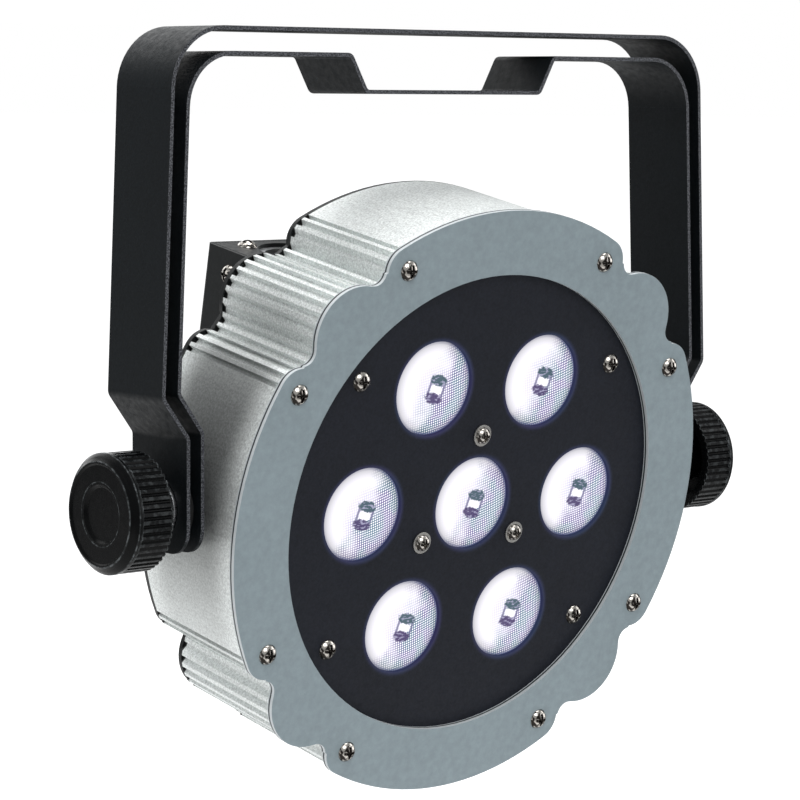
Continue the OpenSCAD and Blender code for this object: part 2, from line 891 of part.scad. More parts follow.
// Recessed appliance inlet with a flange outside the cover
module mains_inlet() {
    color([0.08, 0.08, 0.08]) in_head() translate([inlet_x, inlet_y, inlet_z]) difference() {
        union() {
            translate([0, 0, -2]) linear_extrude(2) rounded([31, 25], 2);
            translate([0, 0, -1]) linear_extrude(20) rounded([27.2, 19.8], 1.4);
        }
        translate([0, 0, -3]) linear_extrude(18.5) rounded([24.4, 16.4], 2.5);
        for (p = blade_places) translate([p[0], p[1], 10]) linear_extrude(20) {
            square(blade_size + [0.04, 0.04], center = true);
        }
    }
}

module mains_pins() {
    color([0.8, 0.8, 0.78]) in_head() for (p = blade_places) {
        translate([inlet_x + p[0], inlet_y + p[1], inlet_z + 4.5]) linear_extrude(18) {
            square(blade_size, center = true);
        }
    }
}

// Fuse holder tube with a flange outside the cover
module fuse_holder() {
    color([0.1, 0.1, 0.1]) in_head() translate([fuse_x, inlet_y, inlet_z]) difference() {
        union() {
            translate([0, 0, -2]) cylinder(r = 8, h = 2);
            translate([0, 0, -1]) cylinder(r = 6.1, h = 27);
        }
        translate([0, 0, -3]) cylinder(r = 4.6, h = 9);
        translate([0, 0, -1]) cylinder(r = fuse_r + 0.4, h = 25);
    }
}

module fuse() {
    color([0.85, 0.85, 0.85]) in_head() translate([fuse_x, inlet_y, inlet_z + 3]) {
        cylinder(r = fuse_r, h = 20);
    }
}

module fuse_cap() {
    color([0.12, 0.12, 0.12]) in_head() translate([fuse_x, inlet_y, inlet_z]) difference() {
        union() {
            translate([0, 0, -6]) cylinder(r = 6.6, h = 3.9);
            translate([0, 0, -2.2]) cylinder(r = 4.53, h = 5.1);
        }
        translate([-5, -0.6, -7]) cube([10, 1.2, 2]);
    }
}

// ---------------------------------------------------------------- electronics

// Board with a transformer, a capacitor and a choke, behind the heat plate
module power_supply() {
    y0 = plate_y + plate_thickness + fin_height + 3;
    color([0.3, 0.45, 0.3]) in_head() {
        plate(y0, 1.6) rounded([90, 60], 2);
        translate([-30, y0 + 1.5, -14]) cube([26, 10, 26]);
        rod_y(y0 + 1.5, 10, 6, [14, 10]);
        rod_y(y0 + 1.5, 8, 5, [32, -10]);
    }
}

// Board with drivers that stands inside the rear box
module driver_board() {
    color([0.2, 0.35, 0.5]) in_head() {
        plate(box_y + 1, 1.6) translate([0, 6]) rounded([70, 56], 2);
        translate([-20, box_y + 2.5, -8]) cube([12, 3, 12]);
        translate([8, box_y + 2.5, -12]) cube([16, 5, 8]);
    }
}

module display_window() {
    color([0.25, 0.05, 0.05, 0.6]) in_head() plate(box_back_y - sheet, sheet + 0.3) {
        translate([0, window_z]) rounded(window_size - [0.2, 0.2], 0.9);
    }
}

module display_module() {
    color([0.15, 0.15, 0.15]) in_head() {
        plate(box_back_y - 10.5, 1.6) translate([0, 20]) rounded([60, 36], 2);
        translate([-16, box_back_y - 9, window_z - 6]) cube([32, 7.5, 12]);
    }
}

// Menu button: cap outside the box, collar and stem inside
module button(i) {
    at = [button_pitch * (i - 2.5), button_z];
    color([0.2, 0.2, 0.2]) in_head() {
        rod_y(box_back_y - 3, 5, button_r, at);
        rod_y(box_back_y - 3.6, 2, button_r + 1, at);
        rod_y(box_back_y - 6.2, 3, 1.6, at);
    }
}

// ---------------------------------------------------------------- the assembly

outer_bracket();
inner_bracket();
friction_washer(-1);  // friction_washer_left
friction_washer(1);  // friction_washer_right
pivot_spacer(-1);  // pivot_spacer_left
pivot_spacer(1);  // pivot_spacer_right
pivot_block(-1);  // pivot_block_left
pivot_block(1);  // pivot_block_right
thrust_washer(-1);  // thrust_washer_left
thrust_washer(1);  // thrust_washer_right
knob(-1);  // knob_left
knob(1);  // knob_right
knob_stud(-1);  // knob_stud_left
knob_stud(1);  // knob_stud_right
knob_cap(-1);  // knob_cap_left
knob_cap(1);  // knob_cap_right
front_ring();
ring_screws();
front_panel();
panel_screws();
panel_washers();
for (i = [0:6]) lens(i);
lens_holders();
led_emitters();
led_board();
standoffs();
heat_plate();
housing();
rear_panel();
rear_screws();
box_shell();
box_top();
box_bottom();
box_screws();
dmx_in_socket();
dmx_in_pins();
dmx_out_socket();
dmx_out_core();
dmx_latch();
socket_screws();
mains_inlet();
mains_pins();
fuse_holder();
fuse();
fuse_cap();
power_supply();
driver_board();
display_window();
display_module();
for (i = [1:4]) button(i);
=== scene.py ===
"""Looks of the flat LED par can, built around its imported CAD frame."""
import json
import math

import bmesh
import bpy
from mathutils import Matrix, Vector


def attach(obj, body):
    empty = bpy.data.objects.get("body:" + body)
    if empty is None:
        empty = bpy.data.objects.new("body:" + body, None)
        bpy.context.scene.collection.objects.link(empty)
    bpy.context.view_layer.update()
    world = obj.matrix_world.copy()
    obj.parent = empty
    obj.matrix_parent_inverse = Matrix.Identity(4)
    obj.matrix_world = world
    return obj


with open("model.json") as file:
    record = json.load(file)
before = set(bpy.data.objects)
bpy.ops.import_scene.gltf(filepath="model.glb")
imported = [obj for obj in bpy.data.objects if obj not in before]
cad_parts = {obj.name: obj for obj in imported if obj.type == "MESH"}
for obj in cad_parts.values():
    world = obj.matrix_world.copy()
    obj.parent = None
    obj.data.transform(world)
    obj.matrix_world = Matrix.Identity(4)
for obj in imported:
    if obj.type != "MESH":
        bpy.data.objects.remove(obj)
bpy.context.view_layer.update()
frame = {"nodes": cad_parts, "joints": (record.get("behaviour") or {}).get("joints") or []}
NODES = frame["nodes"]
JOINTS = {joint["name"]: joint for joint in frame["joints"]}
SCENE = bpy.context.scene

MM = 0.001
WHITE = (1.0, 1.0, 1.0)

# The head's own frame has its origin on the pivot line, X along that line, Y back from the lenses and Z up.
PIVOT = Vector(JOINTS["head_tilt"]["pos_m"])
TILT = math.radians(10.7)

# places in the head's own frame
RING_Y = -24.5 * MM
RING_SEAM_Y = RING_Y + 1.35 * MM
REAR_SEAM_Y = 21.2 * MM
LENS_CIRCLE = 42 * MM
LENS_RADIUS = 14 * MM
LENS_PLACES = [(0.0, 0.0)] + [
    (LENS_CIRCLE * math.cos(math.radians(angle)), LENS_CIRCLE * math.sin(math.radians(angle)))
    for angle in range(0, 360, 60)
]

# the clamp knobs, in millimetres: radii, and distances out along the pivot line
KNOB_RIDGE_R = 16.88
KNOB_SIDE_R = 15.9
KNOB_RIM_R = 14.75
KNOB_CAP_R = 9.05
KNOB_FACE_OUT = 117.4
KNOB_RIDGE_END_OUT = 115.9
KNOB_STEPS_OUT = (116.55, 115.35, 105.5)

# the menu display, in millimetres, with its depths behind the box's back face
BOX_BACK = 61.4
WINDOW_Z = 30.0
DIGIT_PITCH = 8.0
DIGIT_DEPTHS = (-1.48, -1.28)
SEGMENT_HALF = 1.9
SEGMENT_WIDE = 0.38
SEGMENT_GAP = 0.2


# ---------------------------------------------------------------- node helpers

class Material:
    """A node material under construction; every call adds nodes and returns their output."""

    def __init__(self, name):
        self.mat = bpy.data.materials.new(name)
        self.mat.use_nodes = True
        self.tree = self.mat.node_tree
        self.shader = self.tree.nodes["Principled BSDF"]
        self.made = {}

    def add(self, kind, output=0, props=None, **inputs):
        """A node; an input is given by its name, or as i and its number."""
        node = self.tree.nodes.new("ShaderNode" + kind)
        for key, value in (props or {}).items():
            setattr(node, key, value)
        for key, value in inputs.items():
            by_number = key[0] == "i" and key[1:].isdigit()
            self.put(node.inputs[int(key[1:]) if by_number else key], value)
        return node.outputs[output]

    def put(self, socket, value):
        if isinstance(value, bpy.types.NodeSocket):
            self.tree.links.new(value, socket)
        else:
            socket.default_value = value

    def set(self, **inputs):
        """Values or links for the shader's inputs."""
        for key, value in inputs.items():
            self.put(self.shader.inputs[key.replace("_", " ")], value)

    def fix(self, **inputs):
        """Constants for the shader's inputs."""
        for key, value in inputs.items():
            self.shader.inputs[key.replace("_", " ")].default_value = value

    def math(self, op, a, b=0.0, c=0.0):
        return self.add("Math", props={"operation": op}, i0=a, i1=b, i2=c)

    def plus(self, a, b):
        return self.math("ADD", a, b)

    def minus(self, a, b):
        return self.math("SUBTRACT", a, b)

    def times(self, a, b):
        return self.math("MULTIPLY", a, b)

    def larger(self, a, b):
        return self.math("MAXIMUM", a, b)

    def unsigned(self, a):
        return self.math("ABSOLUTE", a)

    def vector(self, op, a, b=(0.0, 0.0, 0.0), output=0):
        return self.add("VectorMath", output, props={"operation": op}, i0=a, i1=b)

    def length(self, x, y, z):
        return self.vector("LENGTH", self.join(x, y, z), output=1)

    def scaled(self, colour, factor):
        """A colour made lighter or darker by a factor."""
        result = self.vector("SCALE", colour)
        self.tree.links.new(factor, result.node.inputs["Scale"])
        return result

    def ramp(self, value, low, high, to_low=0.0, to_high=1.0, smooth=True):
        kind = "SMOOTHSTEP" if smooth else "LINEAR"
        return self.add("MapRange", props={"interpolation_type": kind},
                        i0=value, i1=low, i2=high, i3=to_low, i4=to_high)

    def spread(self, value, to_low, to_high, low=0.3, high=0.7):
        """A noise's usual span stretched evenly over another."""
        return self.ramp(value, low, high, to_low, to_high, False)

    def mix(self, factor, a, b):
        node = self.tree.nodes.new("ShaderNodeMix")
        node.data_type = "RGBA"
        for index, value in ((0, factor), (6, a), (7, b)):
            if isinstance(value, (tuple, list)) and len(value) == 3:
                value = (*value, 1.0)
            self.put(node.inputs[index], value)
        return node.outputs[2]

    def noise(self, coords, scale, detail=2.0, rough=0.5):
        return self.add("TexNoise", Vector=coords, Scale=scale, Detail=detail, Roughness=rough)

    def here(self):
        """Object coordinates."""
        if "here" not in self.made:
            self.made["here"] = self.add("TexCoord", 3)
        return self.made["here"]

    def head(self):
        """Coordinates in the head's own frame."""
        if "head" not in self.made:
            turned = self.add("VectorRotate", props={"rotation_type": "X_AXIS"},
                              Vector=self.here(), Center=tuple(PIVOT), Angle=-TILT)
            self.made["head"] = self.vector("SUBTRACT", turned, tuple(PIVOT))
        return self.made["head"]

    def facing(self):
        """Surface normal in the head's own frame."""
        if "facing" not in self.made:
            self.made["facing"] = self.add("VectorRotate", props={"rotation_type": "X_AXIS"},
                                           Vector=self.add("TexCoord", 1), Angle=-TILT)
        return self.made["facing"]

    def split(self, coords):
        node = self.tree.nodes.new("ShaderNodeSeparateXYZ")
        self.tree.links.new(coords, node.inputs[0])
        return tuple(node.outputs)

    def join(self, x, y, z):
        return self.add("CombineXYZ", i0=x, i1=y, i2=z)

    def bump(self, height, distance, strength=1.0):
        return self.add("Bump", Height=height, Distance=distance, Strength=strength)

    def base_colour(self):
        """What the shader's base colour is linked to so far."""
        return self.shader.inputs["Base Color"].links[0].from_socket


# ---------------------------------------------------------------- materials

def paint(name, base, rough, grain=900.0, depth=0.03, patch=0.08, rough_span=0.08, speckle=0.0,
          level=False, specular=0.5):
    """Painted, coated or moulded surface: fine grain in bump, colour and roughness, and broad patches."""
    m = Material(name)
    at = m.head() if level else m.here()
    fine = m.noise(at, grain, 3.0, 0.6)
    broad = m.noise(at, 45.0, 3.0, 0.55)
    tone = m.plus(m.spread(broad, 1 - patch, 1 + patch), m.spread(fine, -speckle, speckle, 0.35, 0.65))
    polish = m.noise(at, grain * 0.37, 2.0)
    m.set(Base_Color=m.scaled(base, tone), Normal=m.bump(fine, depth * MM),
          Roughness=m.spread(polish, rough - rough_span, rough + rough_span))
    m.fix(Specular_IOR_Level=specular)
    return m


def bracket_material():
    """Fine-textured powder coat, worn a little lighter along the sheared edges of the strap."""
    m = paint("bracket_coat", (0.0042, 0.0062, 0.0079), 0.5, grain=1500.0, depth=0.035, patch=0.1,
              speckle=0.3, specular=0.16)
    normal = m.split(m.add("TexCoord", 1))
    sheared = m.ramp(m.unsigned(normal[1]), 0.80, 0.97)
    spots = m.ramp(m.noise(m.here(), 2300.0, 2.0, 0.7), 0.40, 0.62)
    edge_tone = m.mix(spots, (0.018, 0.019, 0.022), (0.13, 0.135, 0.15))
    m.set(Base_Color=m.mix(sheared, m.base_colour(), edge_tone))
    return m


def housing_material():
    """Satin silver anodised extrusion, with fine sparkle and faint draw lines along it."""
    m = Material("housing_silver")
    at = m.head()
    grain = m.noise(at, 1600.0, 2.0, 0.7)
    lines = m.noise(m.vector("MULTIPLY", at, (1.0, 0.05, 1.0)), 900.0, 2.0, 0.5)
    broad = m.noise(at, 30.0, 2.0)
    tone = m.plus(m.spread(grain, 0.72, 1.24), m.spread(lines, -0.03, 0.03, 0.35, 0.65))
    tone = m.plus(tone, m.spread(broad, -0.03, 0.03))
    # painted shade on the sides that face the black brackets, standing in for their shadow and dark
    # reflection, most so in the sides' upper half
    x, y, z = m.split(at)
    beside = m.ramp(m.unsigned(x), 62 * MM, 85 * MM)
    painted_bracket_shade = m.times(beside, m.ramp(m.unsigned(y), 10 * MM, 23 * MM, 0.66, 0.0))
    painted_bracket_shade = m.times(painted_bracket_shade, m.ramp(z, -45 * MM, 5 * MM, 0.35, 1.0))
    tone = m.times(tone, m.minus(1.0, painted_bracket_shade))
    # a dark seam against the rear panel
    tone = m.times(tone, m.ramp(y, REAR_SEAM_Y, REAR_SEAM_Y + 0.3 * MM, 1.0, 0.04))
    height = m.plus(m.times(grain, 0.9), m.times(lines, 0.1))
    m.set(Base_Color=m.scaled((0.84, 0.870, 0.860), tone), Metallic=0.60,
          Roughness=m.spread(grain, 0.46, 0.62), Normal=m.bump(height, 0.02 * MM, 0.9))
    return m


def ring_material():
    """Blue-grey paint with a slight mottle, a painted highlight on its edges, and a dark seam round its
    rim.
    """
    m = Material("ring_blue_grey")
    at = m.head()
    mottle = m.noise(at, 420.0, 3.0, 0.65)
    peel = m.noise(at, 900.0, 2.0, 0.5)
    broad = m.noise(at, 25.0, 2.0)
    tone = m.plus(m.spread(mottle, 0.92, 1.08), m.spread(broad, -0.03, 0.03))
    colour = m.scaled((0.270, 0.330, 0.358), tone)
    # turned_away picks the side and rounded edge faces, for the painted highlight and the seam
    turned_away = m.ramp(m.unsigned(m.split(m.facing())[1]), 0.90, 0.97, 1.0, 0.0)
    from_seam = m.unsigned(m.minus(m.split(at)[1], RING_SEAM_Y))
    seam = m.times(turned_away, m.ramp(from_seam, 0.24 * MM, 0.36 * MM, 1.0, 0.0))
    # painted highlight: the side and rounded edge faces made lighter
    colour = m.mix(turned_away, colour, (0.62, 0.66, 0.68))
    colour = m.mix(seam, colour, (0.020, 0.025, 0.028))
    m.set(Base_Color=colour, Metallic=0.1, Roughness=m.spread(peel, 0.40, 0.52),
          Normal=m.bump(m.plus(peel, mottle), 0.012 * MM, 0.8))
    m.fix(Specular_IOR_Level=0.4)
    return m


def panel_material():
    """Matt black sheet with a faint violet spill of light round each lens."""
    m = paint("panel_black", (0.0090, 0.0108, 0.0172), 0.55, grain=1300.0, depth=0.01, patch=0.12,
              speckle=0.22, level=True, specular=0.2)
    x, _, z = m.split(m.head())
    flat = m.join(x, z, 0.0)
    distances = [m.vector("DISTANCE", flat, (*place, 0.0), output=1) for place in LENS_PLACES]
    nearest = distances[0]
    for distance in distances[1:]:
        nearest = m.math("MINIMUM", nearest, distance)
    spill = m.ramp(nearest, LENS_RADIUS, LENS_RADIUS + 2.2 * MM, 1.0, 0.0)
    m.set(Emission_Color=m.mix(m.noise(flat, 60.0, 1.0), (0.30, 0.16, 0.75), (0.12, 0.34, 0.62)),
          Emission_Strength=m.times(m.times(spill, spill), 0.10))
    return m


def knob_material():
    """Glossy black moulding with painted highlights: thin bright lines on its moulded rims, side steps and
    ridge tops.
    """
    m = paint("knob_black", (0.0018, 0.0020, 0.0023), 0.26, grain=1500.0, depth=0.004, patch=0.1,
              rough_span=0.05, level=True, specular=0.10)
    x, y, z = m.split(m.head())
    out = m.unsigned(x)
    radius = m.length(0.0, y, z)

    def line(value, centre, half):
        away = m.unsigned(m.minus(value, centre * MM))
        return m.ramp(away, 0.3 * half * MM, half * MM, 1.0, 0.0)

    def beyond(value, start, step, **reach):
        return m.ramp(value, start * MM, (start + step) * MM, **reach)

    # painted highlights along the face's rims, the side's steps and the ridge tops
    rims = m.larger(line(radius, KNOB_RIM_R, 0.32), m.times(line(radius, KNOB_CAP_R, 0.26), 0.8))
    rims = m.times(rims, beyond(out, KNOB_FACE_OUT, 0.2))
    outer, inner, heel = KNOB_STEPS_OUT
    steps = m.larger(m.larger(line(out, outer, 0.24), line(out, inner, 0.30)), line(out, heel, 0.22))
    ribs = m.times(beyond(radius, KNOB_RIDGE_R, 0.1, to_high=0.30),
                   beyond(out, KNOB_RIDGE_END_OUT, 0.1, to_low=1.0, to_high=0.0))
    on_side = m.times(m.larger(steps, ribs), beyond(radius, KNOB_SIDE_R, 0.2))
    # noise that breaks the painted highlights into patches
    highlight_patchiness = m.ramp(m.noise(m.here(), 620.0, 2.0), 0.42, 0.66, 0.15, 1.0)
    lines = m.times(m.larger(rims, on_side), highlight_patchiness)
    m.set(Base_Color=m.mix(lines, m.base_colour(), (0.11, 0.12, 0.125)))
    return m


def screw_material():
    """Plated screws: mirror-like crowns with painted reflections in light and dark patches, and painted
    shade in their flat-sided recesses.
    """
    m = Material("nickel_screw")
    facing = m.facing()
    along = [m.unsigned(axis) for axis in m.split(facing)]
    recess = m.ramp(m.larger(m.larger(along[0], along[1]), along[2]), 0.986, 0.992)
    # painted reflection: light and dark patches that follow the way the surface faces
    patches = m.noise(m.vector("ADD", m.vector("SCALE", facing), m.head()), 2.3, 1.0)
    painted_reflection = m.mix(m.ramp(patches, 0.42, 0.58), (0.03, 0.027, 0.024), (0.66, 0.62, 0.57))
    stain = m.spread(m.noise(m.here(), 900.0, 3.0, 0.6), 1.0, 0.82, 0.35, 0.7)
    # the painted reflection with real tarnish over it
    worn = m.vector("MULTIPLY", painted_reflection, m.join(stain, stain, stain))
    # painted shade in the recesses
    m.set(Base_Color=m.mix(recess, worn, (0.018, 0.016, 0.014)), Metallic=1.0,
          Roughness=m.spread(stain, 0.26, 0.16, 0.8, 1.0), Normal=m.bump(stain, 0.01 * MM, 0.4))
    return m


def metal(name, base, rough, brushed=(1.0, 1.0, 1.0), grain=1500.0, depth=0.01, dark=0.0):
    """Bare or plated metal with fine brushing and faint tarnish."""
    m = Material(name)
    fine = m.noise(m.vector("MULTIPLY", m.head(), brushed), grain, 3.0, 0.6)
    stain = m.noise(m.here(), 220.0, 3.0, 0.6)
    m.set(Base_Color=m.scaled(base, m.spread(stain, 1.0, 0.86 - dark, 0.35, 0.7)), Metallic=1.0,
          Roughness=m.spread(fine, rough * 0.7, rough * 1.35), Normal=m.bump(fine, depth * MM, 0.7))
    return m


def board(name, mask_colour, pad_colour, trace=0.35):
    """Circuit board: solder mask with tracks, and plated pads on a grid."""
    m = Material(name)
    x, y, z = m.split(m.head())
    flat = m.join(x, z, y)
    cell = m.add("TexVoronoi", props={"feature": "DISTANCE_TO_EDGE", "voronoi_dimensions": "2D"},
                 Vector=flat, Scale=260.0, Randomness=0.25)
    tracks = m.ramp(cell, 0.03, 0.06, 1.0, 0.0)
    dots = m.add("TexVoronoi", props={"voronoi_dimensions": "2D"}, Vector=flat, Scale=330.0, Randomness=0.0)
    chosen = m.math("GREATER_THAN", m.noise(flat, 70.0, 1.0), 0.53)
    pads = m.times(m.ramp(dots, 0.16, 0.22, 1.0, 0.0), chosen)
    lighter = tuple(min(1.0, c * 1.6 + 0.01) for c in mask_colour)
    colour = m.mix(m.times(tracks, trace), mask_colour, lighter)
    m.set(Base_Color=m.mix(pads, colour, pad_colour), Metallic=m.times(pads, 0.9),
          Roughness=m.spread(m.noise(flat, 500.0), 0.28, 0.42),
          Normal=m.bump(m.plus(tracks, pads), 0.03 * MM, 0.5))
    return m


def facet_dots(m, dx, dz):
    """Bright dots on a fine square grid, a little askew."""
    pitch = 0.80 * MM
    skew = 0.22
    along = m.plus(dx, m.times(dz, skew))
    rise = m.minus(dz, m.times(dx, skew))
    waves = [m.math("MULTIPLY_ADD", m.math("COSINE", m.times(value, 2 * math.pi / pitch)), 0.5, 0.5)
             for value in (along, rise)]
    return m.ramp(m.times(waves[0], waves[1]), 0.06, 0.62)


def with_chip(m, face, dx, dz, own):
    """A lit face with its chip: two dark lobes above and below a bright bridge, leaning a little."""
    lean = 0.26
    cz = m.plus(m.times(dz, math.cos(lean)), m.times(dx, math.sin(lean)))
    cx = m.minus(m.times(dx, math.cos(lean)), m.times(dz, math.sin(lean)))
    # thin dark sides that join the lobes
    waist = m.unsigned(m.minus(m.unsigned(cx), 2.7 * MM))
    side = m.times(m.ramp(waist, 0.25 * MM, 0.6 * MM, 0.8, 0.0),
                   m.ramp(m.unsigned(cz), 1.6 * MM, 3.0 * MM, 1.0, 0.0))
    face = m.mix(side, face, (0.13, 0.12, 0.26))
    bridge = m.ramp(m.length(m.times(cx, 0.62), cz, 0.0), 1.15 * MM, 1.6 * MM, 1.0, 0.0)
    face = m.mix(bridge, face, (1.2, 1.18, 1.25))
    # lobes with ragged edges and pale streaks
    away = m.minus(m.unsigned(cz), 2.75 * MM)
    ragged = m.minus(m.noise(own, 900.0, 2.0), 0.5)
    lobe = m.math("MULTIPLY_ADD", ragged, 1.3 * MM, m.length(m.times(cx, 0.50), away, 0.0))
    lobe = m.ramp(lobe, 1.45 * MM, 1.9 * MM, 1.0, 0.0)
    chip = m.mix(m.ramp(cz, -0.5 * MM, 0.5 * MM), (0.055, 0.030, 0.13), (0.03, 0.085, 0.11))
    streak = m.ramp(m.noise(m.vector("MULTIPLY", own, (0.6, 1.6, 1.0)), 950.0, 2.0), 0.53, 0.62, 0.0, 0.75)
    chip = m.mix(streak, chip, (0.48, 0.46, 0.66))
    return m.mix(m.times(lobe, 0.95), face, chip)


def lens_material(index, place):
    """Lit collimator: plain and bright on one side, fine facets on the other, the chip in its middle."""
    m = Material(f"lens_lit_{index}")
    x, y, z = m.split(m.head())
    dx = m.minus(x, place[0])
    dz = m.minus(z, place[1])
    flat = m.join(dx, dz, 0.0)
    own = m.vector("ADD", flat, (0.1 * index, 0.05 * index, 0.0))
    radius = m.vector("LENGTH", flat, output=1)
    dot = facet_dots(m, dx, dz)
    # how much the facets show, from the upper left to the lower right
    across = m.minus(m.times(dx, 0.90), m.times(dz, 0.42))
    cloud = m.minus(m.noise(own, 120.0, 2.0), 0.5)
    across = m.math("MULTIPLY_ADD", cloud, 14 * MM, across)
    shown = m.ramp(across, -5.5 * MM, 4.5 * MM)
    tint = m.mix(m.ramp(m.noise(own, 150.0, 2.0), 0.40, 0.60), (0.17, 0.13, 0.34), (0.08, 0.19, 0.27))
    face = m.mix(shown, (1.12, 1.10, 1.16), m.mix(dot, tint, (1.35, 1.35, 1.42)))
    faint = m.times(m.minus(1.0, dot), m.ramp(radius, 5.0 * MM, 11.0 * MM, 0.34, 0.05))
    face = m.mix(m.times(m.minus(1.0, shown), faint), face, (0.40, 0.34, 0.66))
    face = with_chip(m, face, dx, dz, own)
    # violet rim, and the dimmer flange and side wall beyond it
    rim = m.ramp(radius, LENS_RADIUS - 1.0 * MM, LENS_RADIUS - 0.3 * MM)
    face = m.mix(m.times(rim, m.ramp(across, -9 * MM, 9 * MM, 0.25, 0.85)), face, (0.16, 0.19, 0.42))
    outside = m.ramp(radius, LENS_RADIUS + 0.05 * MM, LENS_RADIUS + 0.2 * MM, 1.0, 0.12)
    front = m.ramp(y, RING_Y + 3.4 * MM, RING_Y + 1.9 * MM, 0.25, 1.0)
    m.set(Roughness=m.ramp(dot, 0.0, 1.0, 0.3, 0.2, False), Emission_Color=face,
          Emission_Strength=m.times(outside, front), Normal=m.bump(dot, 0.04 * MM, 0.5))
    m.fix(Base_Color=(0.02, 0.02, 0.028, 1.0), Specular_IOR_Level=0.25)
    return m


def glass(name, tint, rough=0.04):
    """Clear or tinted plastic, with faint handling haze."""
    m = Material(name)
    haze = m.noise(m.here(), 300.0, 4.0, 0.6)
    lighter = tuple(min(1.0, c * 1.15 + 0.01) for c in tint)
    m.set(Base_Color=m.mix(m.ramp(haze, 0.4, 0.8), tint, lighter),
          Roughness=m.spread(haze, rough, rough + 0.12, 0.3, 0.8), Normal=m.bump(haze, 0.004 * MM, 0.5))
    m.fix(Transmission_Weight=0.9, IOR=1.49)
    return m


def glow(name, colour, strength):
    """A lit surface, a little uneven."""
    m = Material(name)
    m.set(Emission_Strength=m.spread(m.noise(m.here(), 900.0), 0.9 * strength, 1.1 * strength))
    m.fix(Base_Color=(*[c * 0.3 for c in colour], 1.0), Emission_Color=(*colour, 1.0), Roughness=0.4)
    return m


MAT = {
    "bracket": bracket_material(),
    "box": paint("box_coat", (0.0080, 0.0095, 0.0100), 0.42, grain=1300.0, depth=0.035, patch=0.1,
                 speckle=0.2, level=True, specular=0.3),
    "rubber": paint("rubber_black", (0.010, 0.010, 0.0105), 0.62, grain=1100.0, speckle=0.1),
    "knob": knob_material(),
    "moulding": paint("moulding_black", (0.011, 0.011, 0.0115), 0.45, grain=1600.0, depth=0.02, level=True),
    "button": paint("button_grey", (0.03, 0.031, 0.033), 0.5, grain=1500.0, depth=0.02, level=True),
    "ring": ring_material(),
    "panel": panel_material(),
    "housing": housing_material(),
    "alloy": metal("alloy_milled", (0.72, 0.73, 0.75), 0.38, (1.0, 1.0, 0.05)),
    "steel": metal("steel_zinc", (0.62, 0.63, 0.65), 0.30, (0.08, 1.0, 1.0)),
    "nickel": screw_material(),
    "washer": metal("washer_nickel", (0.50, 0.49, 0.47), 0.25, grain=2600.0, depth=0.008, dark=0.1),
    "casting": metal("casting_nickel", (0.46, 0.47, 0.48), 0.36, grain=1200.0, depth=0.02),
    "gold": metal("contact_gold", (0.83, 0.62, 0.28), 0.2),
    "tin": metal("contact_tin", (0.74, 0.74, 0.72), 0.26, (1.0, 1.0, 0.1)),
    "board_white": board("board_white_mask", (0.72, 0.73, 0.72), (0.8, 0.78, 0.7), 0.2),
    "board_green": board("board_green_mask", (0.012, 0.085, 0.035), (0.75, 0.7, 0.55)),
    "window": glass("window_tint", (0.16, 0.012, 0.014)),
    "fuse_glass": glass("fuse_tube", (0.92, 0.94, 0.93)),
    "phosphor": glow("emitter_phosphor", (1.0, 0.93, 0.72), 0.8),
    "digit": glow("digit_red", (1.0, 0.05, 0.03), 3.0),
}
for number, place in enumerate(LENS_PLACES):
    MAT[f"lens_{number}"] = lens_material(number, place)

# by material: the rounding of sharp edges in millimetres, and the CAD nodes it covers
LOOKS = {
    "bracket": (0.22, ["outer_bracket", "inner_bracket"]),
    "box": (0.25, ["box_shell", "box_top", "box_bottom", "rear_panel"]),
    "rubber": (0.4, ["friction_washer_left", "friction_washer_right",
                     "pivot_spacer_left", "pivot_spacer_right"]),
    "alloy": (0.3, ["pivot_block_left", "pivot_block_right", "heat_plate", "standoffs"]),
    "steel": (0.15, ["thrust_washer_left", "thrust_washer_right", "knob_stud_left", "knob_stud_right"]),
    "knob": (0.06, ["knob_left", "knob_right", "knob_cap_left", "knob_cap_right"]),
    "ring": (0.28, ["front_ring"]),
    "nickel": (0.06, ["ring_screws", "panel_screws", "rear_screws", "box_screws", "socket_screws"]),
    "washer": (0.1, ["panel_washers"]),
    "panel": (0.15, ["front_panel"]),
    "moulding": (0.2, ["lens_holders", "dmx_out_core", "mains_inlet", "fuse_holder", "fuse_cap"]),
    "phosphor": (0.0, ["led_emitters"]),
    "board_white": (0.0, ["led_board"]),
    "housing": (0.12, ["housing"]),
    "casting": (0.2, ["dmx_in_socket", "dmx_out_socket", "dmx_latch"]),
    "gold": (0.15, ["dmx_in_pins"]),
    "tin": (0.2, ["mains_pins"]),
    "fuse_glass": (0.3, ["fuse"]),
    "board_green": (0.0, ["power_supply", "driver_board", "display_module"]),
    "window": (0.15, ["display_window"]),
    "button": (0.35, [f"button_{number}" for number in range(1, 5)]),
}
for number in range(len(LENS_PLACES)):
    LOOKS[f"lens_{number}"] = (0.25, [f"lens_{number}"])


# ---------------------------------------------------------------- finishing the CAD meshes

WELD_GAP = 2e-6
FLAT_ANGLE = math.radians(0.2)
ROUND_ANGLE = math.radians(32)
SMOOTH_ANGLE = math.radians(38)


def geometry_group(name, steps):
    """A geometry nodes group that runs steps(tree, geometry) and returns its result."""
    tree = bpy.data.node_groups.new(name, "GeometryNodeTree")
    tree.interface.new_socket("Geometry", in_out="INPUT", socket_type="NodeSocketGeometry")
    tree.interface.new_socket("Geometry", in_out="OUTPUT", socket_type="NodeSocketGeometry")
    start = tree.nodes.new("NodeGroupInput")
    end = tree.nodes.new("NodeGroupOutput")
    tree.links.new(steps(tree, start.outputs[0]), end.inputs[0])
    return tree


def weld_steps(tree, geometry):
    """Joins the mesh's separate faces and drops its stored normals."""
    weld = tree.nodes.new("GeometryNodeMergeByDistance")
    weld.inputs["Distance"].default_value = WELD_GAP
    tree.links.new(geometry, weld.inputs["Geometry"])
    clear = tree.nodes.new("GeometryNodeRemoveAttribute")
    clear.inputs["Name"].default_value = "custom_normal"
    tree.links.new(weld.outputs[0], clear.inputs["Geometry"])
    return clear.outputs[0]


